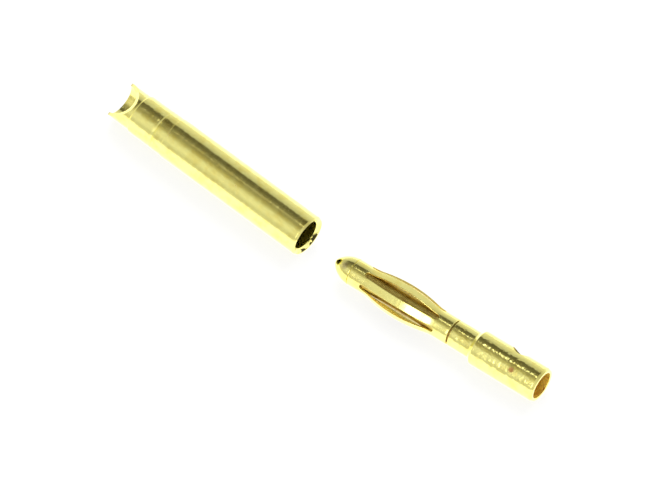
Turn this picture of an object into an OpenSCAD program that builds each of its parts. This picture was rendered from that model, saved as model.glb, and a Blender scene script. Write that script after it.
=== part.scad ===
// Gold-plated bullet connector for a battery lead: a tubular socket and the
// plug with a lantern spring that slides into it, lying apart, end to end.
// The origin is the centre of the socket's mouth. +X points out of the mouth,
// +Z is up, and both halves lie on the plane z = -socket_od / 2.

/* [Contact fit] */
// Diameter of the socket's contact bore
bore_d = 2.15; // [2:0.05:2.5]
// Radial clearance between the contact bore and the plug's rigid parts
plug_clearance = 0.115; // [0.05:0.005:0.16]
// How far the relaxed spring leaves stand proud of the bore, on the radius
leaf_interference = 0.205; // [0.05:0.005:0.3]
// Space between the plugged-in nose and the bottom of the contact bore
bottom_clearance = 0.3; // [0.1:0.05:1.5]

/* [Socket] */
// Outer diameter of the barrel
socket_od = 3; // [3:0.05:4]
// Length of metal between the contact bore and the solder cup
socket_web = 1.68; // [1.5:0.02:4]
// Depth of the solder cup, at full diameter
socket_cup_depth = 3.4; // [2.6:0.1:6]
// Bore of the solder cup
socket_cup_bore = 2.28; // [1.6:0.02:2.36]
// Outer diameter of the solder cup
socket_cup_od = 2.88; // [2.72:0.02:2.9]
// Outer diameter of the thinned lip at the solder cup's end
lip_od = 2.7; // [2.6:0.02:2.72]
// Length of the thinned lip
lip_length = 1.94; // [1.8:0.02:2.6]
// How far the slanted scoop runs in from the solder cup's end
scoop_length = 1.65; // [0.8:0.05:1.7]
// Turn of the scoop away from straight up, about the socket's axis
scoop_turn = 18; // [0:1:90]
// Distance of the marking groove from the solder cup's end
groove_station = 3.82; // [3:0.02:4.2]
// Width of the marking groove
groove_width = 0.16; // [0.06:0.02:0.3]
// Depth of the marking groove
groove_depth = 0.07; // [0.02:0.01:0.15]
// Outer diameter of the land between the groove and the barrel
land_od = 2.93; // [2.91:0.01:2.98]
// Distance of the barrel's full diameter from the solder cup's end
barrel_station = 4.82; // [4.7:0.02:6]
// Length of the bevel round the mouth
mouth_bevel_length = 0.15; // [0.04:0.01:0.3]
// Radial height of the bevel round the mouth
mouth_bevel_height = 0.09; // [0.02:0.01:0.1]
// Diameter of the countersink at the mouth
countersink_d = 2.78; // [2.6:0.02:2.8]
// Depth of the countersink
countersink_depth = 0.2; // [0.1:0.02:0.6]

/* [Plug] */
// Length of the rounded nose in front of the spring
nose_length = 1.44; // [1:0.02:3]
// Diameter of the small flat at the end of the nose
nose_flat_d = 0.44; // [0.2:0.02:0.8]
// Length of the stop shoulder behind the spring
shoulder_length = 1.68; // [0.8:0.02:4]
// Length of the bevel that rises from the shoulder to the solder cup
step_length = 0.3; // [0.1:0.02:0.8]
// Length of the solder cup, from the foot of its bevel to its mouth
plug_cup_length = 5.46; // [5.3:0.02:9]
// Outer diameter of the solder cup
plug_cup_od = 2.52; // [2.42:0.02:2.8]
// Bore of the solder cup
plug_cup_bore = 1.95; // [1.4:0.05:2.1]
// Depth of the solder cup, at full diameter
plug_cup_depth = 4.5; // [3.6:0.1:4.6]
// Length of the bevel round the solder cup's mouth
cup_bevel_length = 0.2; // [0.04:0.02:0.4]
// Radial height of the bevel round the solder cup's mouth
cup_bevel_height = 0.09; // [0.02:0.01:0.12]
// Diameter of the inspection hole in the solder cup's wall
inspection_d = 1.4; // [0.4:0.05:1.6]
// Distance of the inspection hole from the solder cup's mouth
inspection_inset = 2.4; // [1.4:0.05:3.4]
// Turn of the inspection hole from the plug's upper slot, about the plug's axis
inspection_turn = -73; // [-180:1:180]

/* [Lantern spring] */
// Length of the rolled spring, over both collars
spring_length = 8.18; // [7.9:0.02:10]
// Thickness of the spring sheet
sheet = 0.13; // [0.08:0.01:0.18]
// Radial clearance between the collars and the pin's neck
spring_fit = 0.02; // [0.01:0.005:0.05]
// End play between the rear collar and the stop shoulder
spring_play = 0.12; // [0.05:0.01:0.4]
// Number of leaves
leaf_count = 6; // [4:1:6]
// Width of each leaf
leaf_w = 0.58; // [0.3:0.02:0.64]
// Length of the front collar
front_collar = 1.04; // [0.5:0.02:1.4]
// Length of the rear collar
rear_collar = 1.08; // [0.5:0.02:1.4]
// Radius of the foot curve that lifts a leaf off its collar
leaf_foot_r = 4.2; // [2:0.1:6]
// Width of the seam where the rolled sheet closes
seam_gap = 0.05; // [0.02:0.01:0.12]

/* [Layout] */
// Distance of the plug's nose in front of the socket's mouth
plug_ahead = 2.64; // [0.5:0.02:20]
// Sideways distance of the plug's nose from the socket's axis
plug_aside = -0.1; // [-3:0.1:3]
// Angle between the two halves as they lie
plug_yaw = 5.25; // [-8:0.25:8]
// Turn of the plug about its own axis
plug_roll = 10; // [0:1:60]

/* [Hidden] */
$fn = 96;
GOLD = [0.87, 0.74, 0.32];
SPRING_GOLD = [0.92, 0.79, 0.36];
drill_slope = tan(31); // rise of the drilled point at the bottom of each bore
arc_steps = 12;        // straight lengths in a curve of a turned outline
over = 0.5;            // how far a cutter runs past the surface that it opens

// Stations of the plug, counted from the end of its nose
spring_end = nose_length + spring_length;
shoulder_start = spring_end + spring_play;
plug_reach = shoulder_start + shoulder_length;
plug_length = plug_reach + plug_cup_length;

// Stations of the socket, counted from its solder end
contact_depth = plug_reach + bottom_clearance;
socket_length = socket_cup_depth + socket_web + contact_depth;

// Diameters that the fit of the two halves sets
collar_r = bore_d / 2 - plug_clearance;
neck_r = collar_r - sheet - spring_fit;
crest_r = bore_d / 2 + leaf_interference;

// Rounded nose: one arc, square to the flat's edge and tangent to the collar
nose_drop = collar_r - nose_flat_d / 2;
nose_r = (pow(nose_length, 2) + pow(nose_drop, 2)) / (2 * nose_drop);
function nose_at(s) = collar_r - nose_r + sqrt(pow(nose_r, 2) - pow(nose_length - s, 2));

// Spring leaf: a long arch that runs into a short foot curve at each end
leaf_start = nose_length + front_collar;
leaf_end = spring_end - rear_collar;
leaf_mid = (leaf_start + leaf_end) / 2;
leaf_half = (leaf_end - leaf_start) / 2;
leaf_slope = 2 * atan((crest_r - collar_r) / leaf_half);
arch_r = leaf_half / sin(leaf_slope) - leaf_foot_r;
arch_half = arch_r * sin(leaf_slope);
function sag(r, run) = r - sqrt(pow(r, 2) - pow(run, 2));
function leaf_at(s) = let (u = abs(s - leaf_mid))
    u < arch_half ? crest_r - sag(arch_r, u) : collar_r + sag(leaf_foot_r, leaf_half - u);

// Slots between the leaves: a wedge whose sides run along the leaves' edges
leaf_pitch = 360 / leaf_count;
slot_apex = leaf_w / 2 / sin(leaf_pitch / 2);
slot_spread = tan(leaf_pitch / 2);
slot_end_r = (collar_r - slot_apex) * slot_spread;

// Rest: the plug leans on its solder cup and on the leaf nearest to the floor
floor_z = -socket_od / 2;
function leaf_off_down(k) = abs((plug_roll + leaf_pitch * (k + 0.5)) % 360 - 180);
nearest_leaf = min([for (k = [0:leaf_count - 1]) leaf_off_down(k)]);
leaf_reach = crest_r * cos(max(0, nearest_leaf - asin(leaf_w / 2 / crest_r)));
cup_start = plug_reach + step_length;
cup_end = plug_length - cup_bevel_length;
cup_rest = leaf_reach > plug_cup_od / 2 ? cup_end : cup_start;
plug_pitch = atan((leaf_reach - plug_cup_od / 2) / (cup_rest - leaf_mid));
plug_z = floor_z + plug_cup_od / 2 * cos(plug_pitch) + cup_rest * sin(plug_pitch);

// Turns an outline of [radius, station] points about the X axis
module turned(outline) {
    rotate([0, 90, 0]) rotate_extrude() polygon(outline);
}

// Drill that enters at the origin and cuts towards +X, with its pointed end
module drill(d, depth) {
    rotate([0, 90, 0]) {
        translate([0, 0, -over]) cylinder(h = depth + over, d = d);
        translate([0, 0, depth]) cylinder(h = d / 2 * drill_slope, d1 = d, d2 = 0);
    }
}

// Outer form of the socket, solid, from its solder end at the origin
module socket_blank() {
    turned([
        [0, 0],
        [lip_od / 2, 0],
        [lip_od / 2, lip_length - (socket_cup_od - lip_od) / 2],
        [socket_cup_od / 2, lip_length],
        [socket_cup_od / 2, groove_station],
        [socket_cup_od / 2 - groove_depth, groove_station + groove_width / 2],
        [land_od / 2, groove_station + groove_width],
        [land_od / 2, barrel_station - (socket_od - land_od) / 2],
        [socket_od / 2, barrel_station],
        [socket_od / 2, socket_length - mouth_bevel_length],
        [socket_od / 2 - mouth_bevel_height, socket_length],
        [0, socket_length]
    ]);
}

// Slanted cut from the axis at the solder end up through the top of the lip
module scoop_cut() {
    run = 2 * scoop_length;
    rise = lip_od;
    rotate([90, 0, 0]) linear_extrude(2 * socket_od, center = true)
        polygon([[0, 0], [run, rise], [-over, rise], [-over, 0]]);
}

// Countersink that widens the bore to its diameter at the mouth
module countersink() {
    flare = (countersink_d - bore_d) / countersink_depth;
    rotate([0, 90, 0])
        cylinder(h = countersink_depth + over, d1 = bore_d, d2 = countersink_d + flare * over);
}

module socket() {
    color(GOLD) translate([-socket_length, 0, 0]) rotate([scoop_turn, 0, 0]) difference() {
        socket_blank();
        drill(socket_cup_bore, socket_cup_depth);
        translate([socket_length, 0, 0]) mirror([1, 0, 0]) drill(bore_d, contact_depth);
        translate([socket_length - countersink_depth, 0, 0]) countersink();
        scoop_cut();
    }
}

// Lays a plug piece, built along +X from the end of the nose, on the floor
module as_laid() {
    translate([plug_ahead, plug_aside, plug_z])
        rotate([0, plug_pitch, plug_yaw]) rotate([plug_roll, 0, 0]) children();
}

module pin_blank() {
    turned(concat(
        [[0, 0]],
        [for (i = [0:arc_steps]) let (s = nose_length * i / arc_steps) [nose_at(s), s]],
        [
            [neck_r, nose_length],
            [neck_r, shoulder_start],
            [collar_r, shoulder_start],
            [collar_r, plug_reach],
            [plug_cup_od / 2, cup_start],
            [plug_cup_od / 2, cup_end],
            [plug_cup_od / 2 - cup_bevel_height, plug_length],
            [0, plug_length]
        ]
    ));
}

// Inspection hole, drilled through one side of the solder cup's wall
module inspection_drill() {
    translate([plug_length - inspection_inset, 0, 0]) rotate([inspection_turn, 0, 0])
        cylinder(h = plug_cup_od / 2 + over, d = inspection_d);
}

module plug_pin() {
    color(GOLD) as_laid() difference() {
        pin_blank();
        translate([plug_length, 0, 0]) mirror([1, 0, 0]) drill(plug_cup_bore, plug_cup_depth);
        inspection_drill();
    }
}

// Rolled sheet with its arched middle, before the slots are cut
module spring_blank() {
    stations = concat(
        [nose_length],
        [for (i = [0:2 * arc_steps]) leaf_start + leaf_half * i / arc_steps],
        [spring_end]
    );
    count = len(stations);
    outer = [for (s = stations) [s < leaf_start || s > leaf_end ? collar_r : leaf_at(s), s]];
    inner = [for (i = [1:count]) outer[count - i] - [sheet, 0]];
    turned(concat(outer, inner));
}

// One slot with round ends, open upwards
module slot_cut() {
    height = crest_r + over - slot_apex;
    half_w = height * slot_spread;
    front = leaf_start + slot_end_r;
    rear = leaf_end - slot_end_r;
    translate([front, 0, slot_apex]) rotate([90, 0, 90]) linear_extrude(rear - front)
        polygon([[0, 0], [half_w, height], [-half_w, height]]);
    for (x = [front, rear])
        translate([x, 0, slot_apex]) cylinder(h = height, r1 = 0, r2 = half_w);
}

// Seam that opens both collars, below the lowest slot
module seam_cut() {
    translate([nose_length - over, -seam_gap / 2, -crest_r - over])
        cube([spring_length + 2 * over, seam_gap, crest_r + over]);
}

module lantern_spring() {
    color(SPRING_GOLD) as_laid() difference() {
        spring_blank();
        for (k = [0:leaf_count - 1]) rotate([leaf_pitch * k, 0, 0]) slot_cut();
        seam_cut();
    }
}

socket();
plug_pin();
lantern_spring();
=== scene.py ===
import bpy
import math
from mathutils import Euler, Matrix, Vector


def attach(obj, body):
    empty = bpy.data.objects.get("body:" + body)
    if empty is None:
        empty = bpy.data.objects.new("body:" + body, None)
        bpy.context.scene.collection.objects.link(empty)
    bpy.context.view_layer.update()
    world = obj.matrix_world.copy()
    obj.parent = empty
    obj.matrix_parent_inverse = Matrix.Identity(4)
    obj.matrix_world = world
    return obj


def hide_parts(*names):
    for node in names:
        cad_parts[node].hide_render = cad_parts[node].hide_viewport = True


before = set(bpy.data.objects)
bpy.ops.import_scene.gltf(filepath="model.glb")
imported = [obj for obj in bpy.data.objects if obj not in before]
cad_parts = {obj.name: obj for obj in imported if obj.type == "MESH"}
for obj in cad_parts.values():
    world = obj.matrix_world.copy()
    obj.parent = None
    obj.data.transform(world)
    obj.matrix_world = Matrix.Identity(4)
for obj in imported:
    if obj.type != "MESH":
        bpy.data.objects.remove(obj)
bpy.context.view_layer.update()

# A gold-plated bullet connector for a battery lead, both halves, lying apart on a white floor.
# Sizes are in millimetres, as in the part's source, and scaled to metres where they enter the scene.
MM = 0.001
TURNS = 192                      # columns round a turned surface
FILLET_STEPS = 5

# Socket, counted from its solder end
BORE_R = 1.075
SOCKET_R = 1.5
CUP_R = 1.44
LIP_R = 1.35
CUP_BORE_R = 1.14
CUP_DEPTH = 3.4
LIP_LENGTH = 1.94
SCOOP_RISE = 0.8                 # height gained by the slanted cut for each length along the axis
SCOOP_TURN = 18
GROOVE = 3.82
GROOVE_W = 0.2
GROOVE_DEPTH = 0.07
LAND_R = 1.465
BARREL = 4.82
SOCKET_L = 16.8
CONTACT_DEPTH = 11.72
BEVEL = (0.15, 0.09)             # length along the axis, and depth
COUNTERSINK = (1.39, 0.2)        # radius at the mouth, and length along the axis
DRILL_RISE = math.tan(math.radians(31))

# Plug, counted from its nose
COLLAR_R = 0.96
NECK_R = 0.81
CREST_R = 1.28
SHEET = 0.13
NOSE_L = 1.44
NOSE_FLAT_R = 0.22
SPRING_END = 9.62
SHOULDER = 9.74
REACH = 11.42
PLUG_CUP = 11.72
PLUG_L = 16.88
PLUG_CUP_R = 1.26
PLUG_BORE_R = 0.975
PLUG_DEPTH = 4.5
PLUG_BEVEL = (0.2, 0.09)
HOLE_R = 0.7
HOLE_STATION = 14.48
HOLE_TURN = -73
HOLE_SIDES = 96
NOSE_STEPS = 40

# Spring
LEAF_START = 2.48
LEAF_END = 8.54
LEAF_MID = (LEAF_START + LEAF_END) / 2
LEAF_HALF = (LEAF_END - LEAF_START) / 2
FOOT_R = 4.2
LEAVES = 6
HALF_W = 0.29                    # half the width of a leaf
SEAM = 0.05
SEAM_LEAF = 2                    # the seam lies between this leaf and the next
FLAT_R = 3.0                     # the leaves are nearly flat across
FLAT_DROP = 0.022                # what the flatness takes off the middle of a leaf
FLAT_FADE = 0.9                  # length of the feet over which the flatness fades
RIM_W, RIM_DROP = 0.025, 0.02    # the worn edges of a leaf
# The rounded ends of the spring: distance from the end, and drop of the outer surface
COLLAR_END = [(0.0, -0.06), (0.012, -0.036), (0.035, -0.016), (0.065, -0.004), (0.1, 0.0)]
LEAF_SLOPE = 2 * math.atan((CREST_R - COLLAR_R) / LEAF_HALF)
ARCH_R = LEAF_HALF / math.sin(LEAF_SLOPE) - FOOT_R
ARCH_HALF = ARCH_R * math.sin(LEAF_SLOPE)

# Places of the two halves: move (mm) and turn (degrees)
LAY = ((2.64, -0.1, -0.2240), (10, 0.055, 5.25))
STAND = ((-SOCKET_L, 0, 0), (SCOOP_TURN, 0, 0))
FLOOR_Z = -1.5


# ---- meshes ----

def rounded(corners):
    """Corners (station, radius, fillet) to a polyline with an arc in place of each filleted corner."""
    line = []
    for i, (s, r, f) in enumerate(corners):
        here = Vector((s, r))
        if not f or i in (0, len(corners) - 1):
            line.append((s, r))
            continue
        back = Vector(corners[i - 1][:2]) - here
        ahead = Vector(corners[i + 1][:2]) - here
        u, v = back.normalized(), ahead.normalized()
        bend = math.pi - u.angle(v)
        cut = min(f * math.tan(bend / 2), 0.45 * back.length, 0.45 * ahead.length)
        a, b = here + u * cut, here + v * cut
        for k in range(FILLET_STEPS + 1):
            t = k / FILLET_STEPS
            p = a * (1 - t) ** 2 + here * 2 * t * (1 - t) + b * t ** 2
            line.append((p.x, p.y))
    return line


def split(line, longest=0.6):
    """The same polyline with extra points, so that no stretch is longer than longest."""
    out = [line[0]]
    for (s0, r0), (s1, r1) in zip(line, line[1:]):
        n = max(1, math.ceil(math.hypot(s1 - s0, r1 - r0) / longest))
        out += [(s0 + (s1 - s0) * k / n, r0 + (r1 - r0) * k / n) for k in range(1, n + 1)]
    return out


def matrix(place):
    """The move (mm) and turn (degrees) of a place, as a matrix."""
    move, turn = place
    return Matrix.Translation(Vector(move) * MM) @ Euler([math.radians(a) for a in turn]).to_matrix().to_4x4()


def new_object(name, verts, faces, place, smooth=32):
    """A mesh object whose vertices, in mm, are carried to their place."""
    carry = matrix(place)
    mesh = bpy.data.meshes.new(name)
    mesh.from_pydata([tuple(carry @ (Vector(v) * MM)) for v in verts], [], faces)
    mesh.validate()
    mesh.polygons.foreach_set("use_smooth", [True] * len(mesh.polygons))
    mesh.set_sharp_from_angle(angle=math.radians(smooth))
    obj = bpy.data.objects.new(name, mesh)
    bpy.context.scene.collection.objects.link(obj)
    return obj


def lathe(name, line, place, station=None):
    """Turns a polyline of (station, radius) about the X axis.
    station(index, s, r, angle) may shift a point along the axis."""
    verts, rings = [], []
    for i, (s, r) in enumerate(line):
        if r < 1e-9:
            rings.append([len(verts)])
            verts.append((s, 0, 0))
            continue
        ring = []
        for k in range(TURNS):
            a = 2 * math.pi * k / TURNS
            x = station(i, s, r, a) if station else s
            ring.append(len(verts))
            verts.append((x, r * math.cos(a), r * math.sin(a)))
        rings.append(ring)
    faces = []
    for low, high in zip(rings, rings[1:]):
        for k in range(TURNS):
            n = (k + 1) % TURNS
            if len(low) == 1:
                faces.append((low[0], high[n], high[k]))
            elif len(high) == 1:
                faces.append((low[k], low[n], high[0]))
            else:
                faces.append((low[k], low[n], high[n], high[k]))
    return new_object(name, verts, faces, place)


def make_socket():
    cup_point = CUP_DEPTH + CUP_BORE_R * DRILL_RISE
    bore_end = SOCKET_L - CONTACT_DEPTH
    inner = split([(cup_point, 0), (CUP_DEPTH, CUP_BORE_R), (0.03, CUP_BORE_R)], 0.3)
    lip = rounded([(0.05, CUP_BORE_R, 0), (0, CUP_BORE_R, 0.03), (0, LIP_R, 0.03), (0.05, LIP_R, 0)])
    outer = split(rounded([
        (0.08, LIP_R, 0),
        (LIP_LENGTH - (CUP_R - LIP_R), LIP_R, 0.05),
        (LIP_LENGTH, CUP_R, 0.06),
        (GROOVE, CUP_R, 0.03),
        (GROOVE + GROOVE_W / 2, CUP_R - GROOVE_DEPTH, 0.03),
        (GROOVE + GROOVE_W, LAND_R, 0.04),
        (BARREL - (SOCKET_R - LAND_R), LAND_R, 0.02),
        (BARREL, SOCKET_R, 0.03),
        (SOCKET_L - BEVEL[0], SOCKET_R, 0.05),
        (SOCKET_L, SOCKET_R - BEVEL[1], 0.03),
        (SOCKET_L, COUNTERSINK[0], 0.02),
        (SOCKET_L - COUNTERSINK[1], BORE_R, 0.04),
        (bore_end, BORE_R, 0),
        (bore_end - BORE_R * DRILL_RISE, 0, 0),
    ]))
    line = inner[:-1] + lip + outer
    fade_in, fade_out = CUP_DEPTH, LIP_LENGTH - (CUP_R - LIP_R) - 0.05
    tail = len(inner) - 1 + len(lip)

    def station(i, s, r, a):
        """Slides the lip's end back to the slanted cut, and the walls behind it in proportion."""
        cut = max(0.0, r * math.sin(a) / SCOOP_RISE)
        reach = fade_in if i < len(inner) - 1 + len(lip) // 2 else fade_out
        if s >= reach or (i > tail and s > reach):
            return s
        return s + cut * max(0.0, 1 - s / reach)

    return lathe("socket_shell", line, STAND, station)


def make_pin():
    drop = COLLAR_R - NOSE_FLAT_R
    nose_r = (NOSE_L ** 2 + drop ** 2) / (2 * drop)
    stations = [NOSE_L * (1 - math.cos(k / NOSE_STEPS * math.pi / 2)) for k in range(NOSE_STEPS + 1)]
    nose = [(s, COLLAR_R - nose_r + math.sqrt(nose_r ** 2 - (NOSE_L - s) ** 2))
            for s in stations if 0.03 < s < NOSE_L - 0.03]
    flat = rounded([(0, 0, 0), (0, NOSE_FLAT_R, 0.05), (nose[0][0], nose[0][1], 0)])[:-1]
    line = [(0, 0)] + flat[1:] + nose + split(rounded([
        (NOSE_L - 0.03, nose[-1][1] + 0.0003, 0),
        (NOSE_L, COLLAR_R, 0.03),
        (NOSE_L, NECK_R, 0),
        (SPRING_END - 0.04, NECK_R, 0),
        (SHOULDER, NECK_R, 0),
        (SHOULDER, COLLAR_R, 0.07),
        (REACH, COLLAR_R, 0.06),
        (PLUG_CUP, PLUG_CUP_R, 0.12),
        (PLUG_L - PLUG_BEVEL[0], PLUG_CUP_R, 0.1),
        (PLUG_L, PLUG_CUP_R - PLUG_BEVEL[1], 0.03),
        (PLUG_L, PLUG_BORE_R, 0.03),
        (PLUG_L - PLUG_DEPTH, PLUG_BORE_R, 0),
        (PLUG_L - PLUG_DEPTH - PLUG_BORE_R * DRILL_RISE, 0, 0),
    ]))
    pin = lathe("pin_body", line, LAY)
    # The inspection hole is drilled through the far side of the cup's wall.
    drill = []
    angles = [2 * math.pi * k / HOLE_SIDES for k in range(HOLE_SIDES)]
    for height in (0.4, PLUG_CUP_R + 0.4):
        drill += [(HOLE_R * math.cos(a), HOLE_R * math.sin(a), height) for a in angles]
    around = [(k, (k + 1) % HOLE_SIDES) for k in range(HOLE_SIDES)]
    sides = [(k, n, HOLE_SIDES + n, HOLE_SIDES + k) for k, n in around]
    ends = [tuple(reversed(range(HOLE_SIDES))), tuple(range(HOLE_SIDES, 2 * HOLE_SIDES))]
    turn = matrix(((HOLE_STATION, 0, 0), (HOLE_TURN, 0, 0)))
    drill = [tuple(turn @ (Vector(v) * MM) / MM) for v in drill]
    cutter = new_object("drill", drill, sides + ends, LAY)
    mod = pin.modifiers.new("hole", "BOOLEAN")
    mod.operation, mod.solver, mod.object = "DIFFERENCE", "EXACT", cutter
    bpy.context.view_layer.update()
    made = bpy.data.meshes.new_from_object(pin.evaluated_get(bpy.context.evaluated_depsgraph_get()))
    pin.modifiers.clear()
    pin.data = made
    made.polygons.foreach_set("use_smooth", [True] * len(made.polygons))
    made.set_sharp_from_angle(angle=math.radians(32))
    bpy.data.objects.remove(cutter)
    return pin


def leaf_at(s):
    """Outer radius of the spring at a station."""
    u = abs(s - LEAF_MID)
    if u >= LEAF_HALF:
        return COLLAR_R
    if u < ARCH_HALF:
        return CREST_R - ARCH_R + math.sqrt(ARCH_R ** 2 - u ** 2)
    return COLLAR_R + FOOT_R - math.sqrt(FOOT_R ** 2 - (LEAF_HALF - u) ** 2)


def make_spring():
    """Each leaf is a strip of rows along the axis and columns across. The strips join at the two collars."""
    half = math.pi / LEAVES
    gap = half - math.asin(HALF_W / COLLAR_R)
    round_r = (COLLAR_R - HALF_W / math.sin(half)) * math.tan(half)
    # Rows along the axis: station, how much of the slot is open (0 to 1), and the drop of the outer surface
    collar, slot = 6, 14
    front, back = LEAF_START - NOSE_L - 0.1, SPRING_END - 0.1 - LEAF_END
    slot_end = [(round_r * (1 - math.cos(a)), math.sin(a))
                for a in (k / slot * math.pi / 2 for k in range(slot + 1))]
    first, last = LEAF_START + round_r, LEAF_END - round_r
    rows = [(NOSE_L + s, 0.0, drop) for s, drop in COLLAR_END]
    rows += [(NOSE_L + 0.1 + front * k / collar, 0.0, 0.0) for k in range(1, collar)]
    rows += [(LEAF_START + s, share, 0.0) for s, share in slot_end]
    rows += [(first + (last - first) * k / 60, 1.0, 0.0) for k in range(1, 60)]
    rows += [(LEAF_END - s, share, 0.0) for s, share in reversed(slot_end)]
    rows += [(LEAF_END + back * k / collar, 0.0, 0.0) for k in range(1, collar)]
    rows += [(SPRING_END - s, 0.0, drop) for s, drop in reversed(COLLAR_END)]
    verts, faces, index = [], [], {}
    across = [-1, -0.97, -0.93, -0.88] + [k / 8 for k in range(-6, 7)] + [0.88, 0.93, 0.97, 1]
    last_col = len(across) - 1

    def point(leaf, row, col, inside):
        s, share, drop = rows[row]
        t = across[col]
        centre = math.pi / 2 - (2 * half) * (leaf + 0.5)
        edge = half - share * gap
        r = leaf_at(s)
        if share == 1.0:
            edge = math.asin(HALF_W / r)
        r = r - SHEET if inside else r + drop
        seam = (leaf, col) in ((SEAM_LEAF, last_col), (SEAM_LEAF + 1, 0))
        if share == 0.0 and col in (0, last_col) and not seam:
            key = (row, inside, (leaf + (0 if col == 0 else 1)) % LEAVES)
            if key in index:
                return index[key]
        else:
            key = (leaf, row, col, inside)
            if key in index:
                return index[key]
        if seam and share < 0.3:
            edge = min(edge, half - SEAM / 2 / r)
        angle = centre - t * edge
        flat = share * min(1.0, max(0.0, (LEAF_HALF - abs(s - LEAF_MID)) / FLAT_FADE))
        aside = r * math.sin(t * edge)
        r += flat * (aside ** 2 / (2 * COLLAR_R) - aside ** 2 / (2 * FLAT_R) - FLAT_DROP)
        if share > 0.0 and not inside:
            rim = max(0.0, (abs(t) * edge - edge) * r + RIM_W) / RIM_W
            r -= RIM_DROP * rim ** 2
        index[key] = len(verts)
        verts.append((s, r * math.cos(angle), r * math.sin(angle)))
        return index[key]

    for leaf in range(LEAVES):
        for row in range(len(rows) - 1):
            for col in range(last_col):
                for inside in (False, True):
                    quad = [point(leaf, row, col, inside), point(leaf, row, col + 1, inside),
                            point(leaf, row + 1, col + 1, inside), point(leaf, row + 1, col, inside)]
                    faces.append(quad if inside else quad[::-1])
            open_row = rows[row][1] > 0 or rows[row + 1][1] > 0
            for col, seam in ((0, leaf == SEAM_LEAF + 1), (last_col, leaf == SEAM_LEAF)):
                if open_row or seam:
                    quad = [point(leaf, row, col, False), point(leaf, row, col, True),
                            point(leaf, row + 1, col, True), point(leaf, row + 1, col, False)]
                    faces.append(quad if col else quad[::-1])
        for row in (0, len(rows) - 1):
            for col in range(last_col):
                quad = [point(leaf, row, col, False), point(leaf, row, col + 1, False),
                        point(leaf, row, col + 1, True), point(leaf, row, col, True)]
                faces.append(quad if row else quad[::-1])
    faces = [tuple(dict.fromkeys(f)) for f in faces]
    return new_object("spring_leaves", verts, [f for f in faces if len(f) > 2], LAY, 40)


# ---- materials ----

class Nodes:
    """A short way to write a node tree."""

    def __init__(self, tree):
        self.tree = tree
        tree.nodes.clear()

    def add(self, kind, inputs=None, **settings):
        node = self.tree.nodes.new(kind)
        for key, value in settings.items():
            setattr(node, key, value)
        for key, value in (inputs or {}).items():
            if isinstance(value, bpy.types.NodeSocket):
                self.tree.links.new(value, node.inputs[key])
            else:
                node.inputs[key].default_value = value
        return node

    def math(self, operation, a, b=0.0, clamp=False):
        return self.add("ShaderNodeMath", {0: a, 1: b}, operation=operation, use_clamp=clamp).outputs[0]

    def band(self, value, low, high, to_low=0.0, to_high=1.0):
        """A smooth step from to_low to to_high, as the value goes from low to high."""
        inputs = {"Value": value, "From Min": low, "From Max": high, "To Min": to_low, "To Max": to_high}
        return self.add("ShaderNodeMapRange", inputs, interpolation_type="SMOOTHSTEP").outputs[0]

    def noise(self, vector, scale, detail=3.0, rough=0.5):
        inputs = {"Vector": vector, "Scale": scale, "Detail": detail, "Roughness": rough}
        return self.add("ShaderNodeTexNoise", inputs).outputs["Fac"]

    def stretch(self, vector, scale):
        return self.add("ShaderNodeMapping", {"Vector": vector, "Scale": scale}).outputs[0]

    def ramp(self, value, stops):
        node = self.add("ShaderNodeValToRGB", {"Fac": value})
        ramp = node.color_ramp
        while len(ramp.elements) < len(stops):
            ramp.elements.new(0.5)
        for element, (at, colour) in zip(ramp.elements, stops):
            element.position = at
            element.color = (*colour, 1.0)
        return node.outputs["Color"]

    def mix(self, share, a, b):
        node = self.add("ShaderNodeMix", {"Factor": share}, data_type="RGBA")
        for key, value in ((6, a), (7, b)):
            if isinstance(value, bpy.types.NodeSocket):
                self.tree.links.new(value, node.inputs[key])
            else:
                node.inputs[key].default_value = (*value, 1.0)
        return node.outputs[2]


GOLD = (0.86, 0.80, 0.27)
DEEP_GOLD = (0.82, 0.72, 0.20)
PAINTED_BOUNCE = ((0.93, 0.78, 0.26), (0.88, 0.62, 0.14))      # painted interreflected light on the cut edges and inner faces of the leaves
BORE = ((1.00, 0.80, 0.16), (0.62, 0.25, 0.03))      # painted interreflected light and shade inside the plug's solder cup
NECK = ((0.52, 0.41, 0.11), (0.38, 0.26, 0.06))      # painted shade on the pin under the spring
GAP_SHADE = ((0.34, 0.27, 0.07), (0.28, 0.13, 0.04))       # painted shade in the narrow gaps and in the inspection hole's wall
STAIN = (0.66, 0.46, 0.14)
TARNISH = (0.42, 0.16, 0.05)
DUST = (0.42, 0.36, 0.17)
SHADE = (0.03, 0.025, 0.01)
SHADE_R = (1.37, 1.40)           # the dark patches fade between these radii
BUMP = 0.005                     # height of the surface's marks


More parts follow.
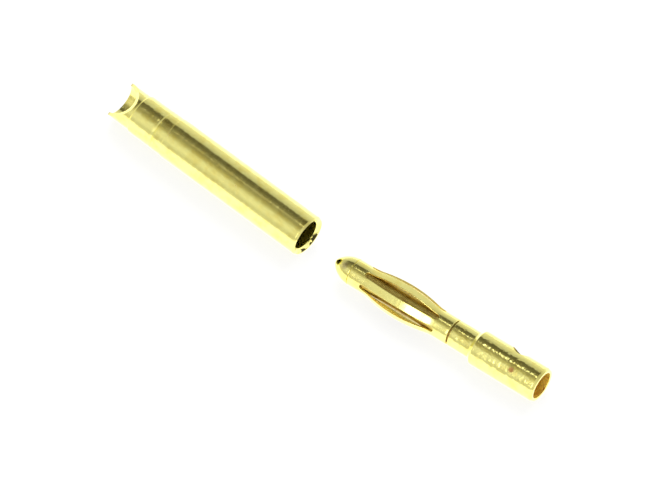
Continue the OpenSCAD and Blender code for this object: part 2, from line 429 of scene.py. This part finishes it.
def gold(name, place, low, high, marks_at=(), spots=(),
         tones=(GOLD, DEEP_GOLD), turn=(0.42, 0.68), shade=None):
    """Plated brass with turning marks round the axis, a fine grain and faint tarnish.
    Its roughness goes from low to high.
    marks_at are stretches (from, to, depth, uneven) with deeper marks and an uneven polish.
    spots are small stains (x, y, z, radius, colour).
    tones are two colours, which change over where a noise passes the two values of turn.
    shade is a stretch (from, to, y, z) with dark patches on the side that y and z point to.
    All places are in the piece's own frame."""
    mat = bpy.data.materials.new(name)
    mat.use_nodes = True
    n = Nodes(mat.node_tree)
    move, turned = Vector(place[0]) * MM, [math.radians(a) for a in place[1]]
    at = n.add("ShaderNodeTexCoord").outputs["Object"]
    at = n.add("ShaderNodeMapping", {"Vector": at, "Location": move, "Rotation": turned},
               vector_type="TEXTURE").outputs[0]
    station, aside, upward = n.add("ShaderNodeSeparateXYZ", {0: at}).outputs
    marks = n.noise(n.stretch(at, (1 / MM, 0.12 / MM, 0.12 / MM)), 7.0, 3.0, 0.7)
    coarse = n.noise(n.stretch(at, (1 / MM, 0.45 / MM, 0.45 / MM)), 3.6, 1.0, 0.5)
    blotch = n.noise(at, 4.2 / MM, 1.5, 0.6)
    slow = n.noise(at, 0.5 / MM, 1.0)
    fine = n.noise(at, 16 / MM, 3.0, 0.6)
    tone = n.noise(at, 1.1 / MM, 4.0, 0.65)
    colour = n.mix(n.band(tone, *turn), *tones)
    specks = n.band(n.noise(at, 2.4 / MM, 3.0, 0.6), 0.66, 0.76, 0.0, 0.5)
    colour = n.mix(specks, colour, STAIN)
    if shade:
        start, end, *side = shade
        facing = n.math("ADD", n.math("MULTIPLY", aside, side[0] / MM),
                        n.math("MULTIPLY", upward, side[1] / MM))
        radial = n.add("ShaderNodeCombineXYZ", {1: aside, 2: upward}).outputs[0]
        radius = n.add("ShaderNodeVectorMath", {0: radial}, operation="LENGTH").outputs["Value"]
        patch = n.band(station, (start - 0.03) * MM, start * MM)
        for limit in (n.band(station, (end + 0.03) * MM, end * MM),
                      n.band(facing, 0.75, 1.0),
                      n.band(n.noise(at, 2.2 / MM, 2.0), 0.41, 0.49),
                      n.band(radius, SHADE_R[1] * MM, SHADE_R[0] * MM)):
            patch = n.math("MULTIPLY", patch, limit)
        colour = n.mix(patch, colour, SHADE)
    for x, y, z, size, stain in spots:
        spot = {0: at, 1: (x * MM, y * MM, z * MM)}
        away = n.add("ShaderNodeVectorMath", spot, operation="DISTANCE").outputs["Value"]
        away = n.math("ADD", away, n.math("MULTIPLY", n.math("SUBTRACT", fine, 0.5), 0.9 * size * MM))
        colour = n.mix(n.band(away, size * MM, 0.3 * size * MM, 0.0, 0.85), colour, stain)
    rough = n.math("ADD", n.band(marks, 0.3, 0.75, low, high), n.band(specks, 0.0, 0.5, 0.0, 0.16))
    height = n.math("ADD", n.math("MULTIPLY", slow, 4.0), n.math("MULTIPLY", fine, 0.05))
    height = n.math("ADD", n.math("MULTIPLY", marks, 0.25), height)
    for start, end, depth, uneven in marks_at:
        zone = n.math("MULTIPLY", n.band(station, (start - 0.05) * MM, (start + 0.05) * MM),
                      n.band(station, (end + 0.05) * MM, (end - 0.05) * MM))
        marks_here = n.math("ADD", n.math("MULTIPLY", coarse, depth), n.math("MULTIPLY", blotch, uneven))
        height = n.math("ADD", height, n.math("MULTIPLY", marks_here, zone))
    bump = n.add("ShaderNodeBump", {"Strength": 1.0, "Distance": BUMP * MM, "Height": height}).outputs[0]
    inputs = {"Base Color": colour, "Metallic": 1.0, "Roughness": rough, "Normal": bump}
    shader = n.add("ShaderNodeBsdfPrincipled", inputs)
    n.add("ShaderNodeOutputMaterial", {"Surface": shader.outputs[0]})
    return mat


def paint(obj, mats, node):
    """Hangs a piece on the frame in place of its node, with its materials."""
    obj.data.materials.clear()
    for mat in mats:
        obj.data.materials.append(mat)
    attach(obj, "root")
    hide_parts(node)


HORN_R = (CUP_BORE_R + LIP_R) / 2
COUNTERSINK_START = SOCKET_L - COUNTERSINK[1] - 0.1

socket_gold = gold("socket_gold", STAND, 0.12, 0.24, [(0.0, BARREL, 1.2, 2.6), (BARREL, SOCKET_L, 0.4, 1.3)],
                   [(0.0, HORN_R, 0.0, 0.34, DUST), (0.0, -HORN_R, 0.0, 0.34, DUST)],
                   shade=(COUNTERSINK_START, SOCKET_L - 0.03, -0.2, -0.98))
pin_gold = gold("pin_gold", LAY, 0.12, 0.18, [(0.0, NOSE_L, 0.6, 2.4), (SHOULDER, PLUG_L, 0.8, 3.6)],
                [(14.85, -0.52, 1.15, 0.30, TARNISH), (0.95, -0.2, 0.8, 0.36, DUST)])
# painted light and shade: interreflected light in the solder cup, shade on the neck and in the gaps
pin_bore = gold("pin_bore", LAY, 0.45, 0.65, [(0.0, PLUG_L, 2.0, 3.0)], tones=BORE, turn=(0.47, 0.53))
# painted shade on the neck under the spring
pin_neck = gold("pin_neck", LAY, 0.28, 0.42, tones=NECK)
# painted shade in the gap behind the spring, in the hole's wall and on the spring's rear end
pin_gap_shade = gold("pin_gap_shade", LAY, 0.30, 0.50, tones=GAP_SHADE)
# painted interreflected light: orange tones on the leaves' cut edges and inner faces
painted_bounce_gold = gold("painted_bounce_gold", LAY, 0.24, 0.40, tones=PAINTED_BOUNCE)
spring_gold = gold("spring_gold", LAY, 0.12, 0.24, [(NOSE_L, SPRING_END, 0.2, 0.5)])

home = matrix(LAY).inverted()
turn_home = home.to_3x3()


def pin_material(face):
    """0 plated outside, 1 solder cup with painted interreflected light, 2 gaps and the hole's wall with
    painted shade, 3 neck with painted shade under the spring.
    """
    spot = home @ face.center / MM
    out = math.hypot(spot.y, spot.z)
    if spot.x > PLUG_L - PLUG_DEPTH - 0.7 and out < PLUG_BORE_R + 0.004:
        return 1
    if abs(spot.x - HOLE_STATION) < HOLE_R + 0.01 and out < PLUG_CUP_R - 0.01:
        return 2
    if NOSE_L < spot.x < SHOULDER and out < NECK_R + 0.02:
        return 2 if spot.x > SPRING_END - 0.04 else 3
    return 0


def spring_material(face):
    """0 plated outside, 1 cut edges and inside with painted interreflected light, 2 the rear end, which faces
    the gap, with painted shade.
    """
    spot, facing = home @ face.center, turn_home @ face.normal
    if spot.x / MM > SPRING_END - 0.02 and facing.x > 0.4:
        return 2
    spot.x = 0
    inward = facing.dot(spot.normalized()) < 0.55 and abs(facing.x) < 0.7
    return 1 if inward and face.normal.z < 0.6 else 0


socket, pin, spring = make_socket(), make_pin(), make_spring()
paint(socket, [socket_gold], "socket")
paint(pin, [pin_gold, pin_bore, pin_gap_shade, pin_neck], "plug_pin")
paint(spring, [spring_gold, painted_bounce_gold, pin_gap_shade], "lantern_spring")
for piece, choose in ((pin, pin_material), (spring, spring_material)):
    for face in piece.data.polygons:
        face.material_index = choose(face)


# ---- floor, light and camera ----

def plane(name, size, z):
    h = size / 2
    mesh = bpy.data.meshes.new(name)
    mesh.from_pydata([(-h, -h, z), (h, -h, z), (h, h, z), (-h, h, z)], [], [(0, 1, 2, 3)])
    obj = bpy.data.objects.new(name, mesh)
    bpy.context.scene.collection.objects.link(obj)
    return obj


FLOOR_SIZE = 4.0                 # metres, as are the studio and the camera's distance
FLOOR_WHITE = 0.8                # the rest of the floor's look is its own shade and shadow
FLOOR_SHEEN = 0.7                # the floor is brighter in the metal than to the camera
floor = plane("floor", FLOOR_SIZE, FLOOR_Z * MM)
mat = bpy.data.materials.new("floor_paper")
mat.use_nodes = True
n = Nodes(mat.node_tree)
path = n.add("ShaderNodeLightPath").outputs
seen = n.math("ADD", path["Is Camera Ray"], path["Is Glossy Ray"])
seen = n.math("ADD", seen, path["Is Transmission Ray"], clamp=True)
paper = n.add("ShaderNodeBsdfDiffuse", {"Color": (0.93, 0.93, 0.925, 1)})
bright = n.math("ADD", 1.0, n.math("MULTIPLY", path["Is Glossy Ray"], FLOOR_SHEEN))
glow = n.add("ShaderNodeEmission", {"Color": (1, 1, 1, 1), "Strength": bright})
mixed = n.add("ShaderNodeMixShader", {0: n.math("MULTIPLY", seen, FLOOR_WHITE),
                                      1: paper.outputs[0], 2: glow.outputs[0]})
n.add("ShaderNodeOutputMaterial", {"Surface": mixed.outputs[0]})
mat.cycles.emission_sampling = "NONE"
floor.data.materials.append(mat)

# The studio's walls and ceiling, which only the metal's reflections show.
DOME = 1.0
rings, columns = 48, 96
verts, faces = [], []
for i in range(rings):
    up = math.pi / 2 * i / rings
    for k in range(columns):
        a = 2 * math.pi * k / columns
        level = DOME * math.cos(up)
        verts.append((level * math.cos(a), level * math.sin(a), DOME * math.sin(up)))
verts.append((0, 0, DOME))
top = len(verts) - 1
for i in range(rings):
    for k in range(columns):
        here, beside = i * columns + k, i * columns + (k + 1) % columns
        above = (beside + columns, here + columns) if i < rings - 1 else (top,)
        faces.append((here, beside, *above))
mesh = bpy.data.meshes.new("studio")
mesh.from_pydata(verts, [], faces)
mesh.polygons.foreach_set("use_smooth", [True] * len(mesh.polygons))
studio = bpy.data.objects.new("studio", mesh)
bpy.context.scene.collection.objects.link(studio)
studio.location.z = FLOOR_Z * MM
for ray in ("camera", "diffuse", "shadow", "transmission"):
    setattr(studio, "visible_" + ray, False)
mat = bpy.data.materials.new("studio_light")
mat.use_nodes = True
mat.cycles.emission_sampling = "NONE"
n = Nodes(mat.node_tree)
xyz = n.add("ShaderNodeSeparateXYZ", {0: n.add("ShaderNodeTexCoord").outputs["Object"]})
x, y, z = xyz.outputs
tilt = n.math("MULTIPLY", n.math("ARCTAN2", y, z), 180 / math.pi)     # degrees from straight up, towards +Y
# Brightness of the walls and ceiling at each tilt, and under the dark ceiling panel
WALLS = [(-90, 0.80), (-78, 0.75), (-67, 0.81), (-56, 0.93), (-40, 0.88), (-20, 0.80),
         (30, 0.60), (52, 0.69), (66, 0.86), (80, 0.97), (90, 1.10)]
PANEL = [(-90, 0.30), (-24, 0.62), (-15, 0.40), (-5, 0.32), (5, 0.25), (16, 0.20), (28, 0.13), (90, 0.13)]
ROOM, SMALL_LAMP, BIG_LAMP = 2.0, 3.5, 4.5


def by_tilt(stops):
    """Brightness between the stops (tilt, brightness)."""
    share = n.math("ADD", n.math("DIVIDE", tilt, 180), 0.5)
    return n.ramp(share, [((a + 90) / 180, (v / ROOM, v / ROOM, v / ROOM)) for a, v in stops])


def window(value, low, high, soft):
    """One between low and high, with soft edges."""
    return n.math("MULTIPLY", n.band(value, low - soft, low + soft), n.band(value, high + soft, high - soft))


walls = by_tilt(WALLS)
panel = n.add("ShaderNodeMix", {0: 1.0, 6: by_tilt(PANEL), 7: (1.0, 0.94, 0.72, 1)},
              data_type="RGBA", blend_type="MULTIPLY").outputs[2]
under = n.math("MULTIPLY", window(tilt, -30, 39.5, 1.5), window(x, -0.80, 0.22, 0.15))
tone = n.mix(under, walls, panel)
line = n.math("MULTIPLY", window(tilt, -80.5, -77.5, 1.2), window(x, -0.60, -0.32, 0.02))
tone = n.mix(n.math("MULTIPLY", line, 0.6), tone, (0.25, 0.22, 0.10))
small_lamp = n.math("MULTIPLY", window(tilt, 0, 5, 2), window(x, -0.30, -0.12, 0.015))
big_lamp = n.math("MULTIPLY", window(tilt, -68, -38, 6), window(x, -0.10, 0.20, 0.02))
extra = n.math("ADD", n.math("MULTIPLY", small_lamp, SMALL_LAMP), n.math("MULTIPLY", big_lamp, BIG_LAMP))
dim = n.add("ShaderNodeEmission", {"Color": tone, "Strength": ROOM})
lit = n.add("ShaderNodeEmission", {"Color": (1, 1, 1, 1), "Strength": extra})
both = n.add("ShaderNodeAddShader", {0: dim.outputs[0], 1: lit.outputs[0]})
n.add("ShaderNodeOutputMaterial", {"Surface": both.outputs[0]})
mesh.materials.append(mat)

world = bpy.data.worlds.new("world")
bpy.context.scene.world = world
world.use_nodes = True
n = Nodes(world.node_tree)
sky = n.add("ShaderNodeBackground", {"Color": (1, 1, 1, 1), "Strength": 1.0})
n.add("ShaderNodeOutputWorld", {"Surface": sky.outputs[0]})

lamp = bpy.data.lights.new("softbox", "AREA")
lamp.shape, lamp.size, lamp.size_y, lamp.energy = "RECTANGLE", 0.5, 0.35, 3.0
softbox = bpy.data.objects.new("softbox", lamp)
bpy.context.scene.collection.objects.link(softbox)
softbox.location = (-0.15, 0.35, 0.45)
softbox.rotation_euler = (-softbox.location).to_track_quat("-Z", "Y").to_euler()
softbox.visible_glossy = False

# Camera: the photograph's angle, from far away through a long lens
AIM = Vector((1.623, 0.526, -0.4255)) * MM
VIEW_WIDTH = 44.5
DISTANCE = 1.5
camera = bpy.data.cameras.new("camera")
camera.sensor_width = 36
camera.lens = DISTANCE / MM * 36 / VIEW_WIDTH
camera.clip_start, camera.clip_end = 0.02, 10
eye = bpy.data.objects.new("camera", camera)
bpy.context.scene.collection.objects.link(eye)
azimuth, elevation = math.radians(41), math.radians(57.5)
towards = Vector((math.sin(azimuth), -math.cos(azimuth), math.tan(elevation))).normalized()
eye.location = AIM + towards * DISTANCE
eye.rotation_euler = towards.to_track_quat("Z", "Y").to_euler()
bpy.context.scene.camera = eye

bpy.context.scene.view_settings.view_transform = "Standard"
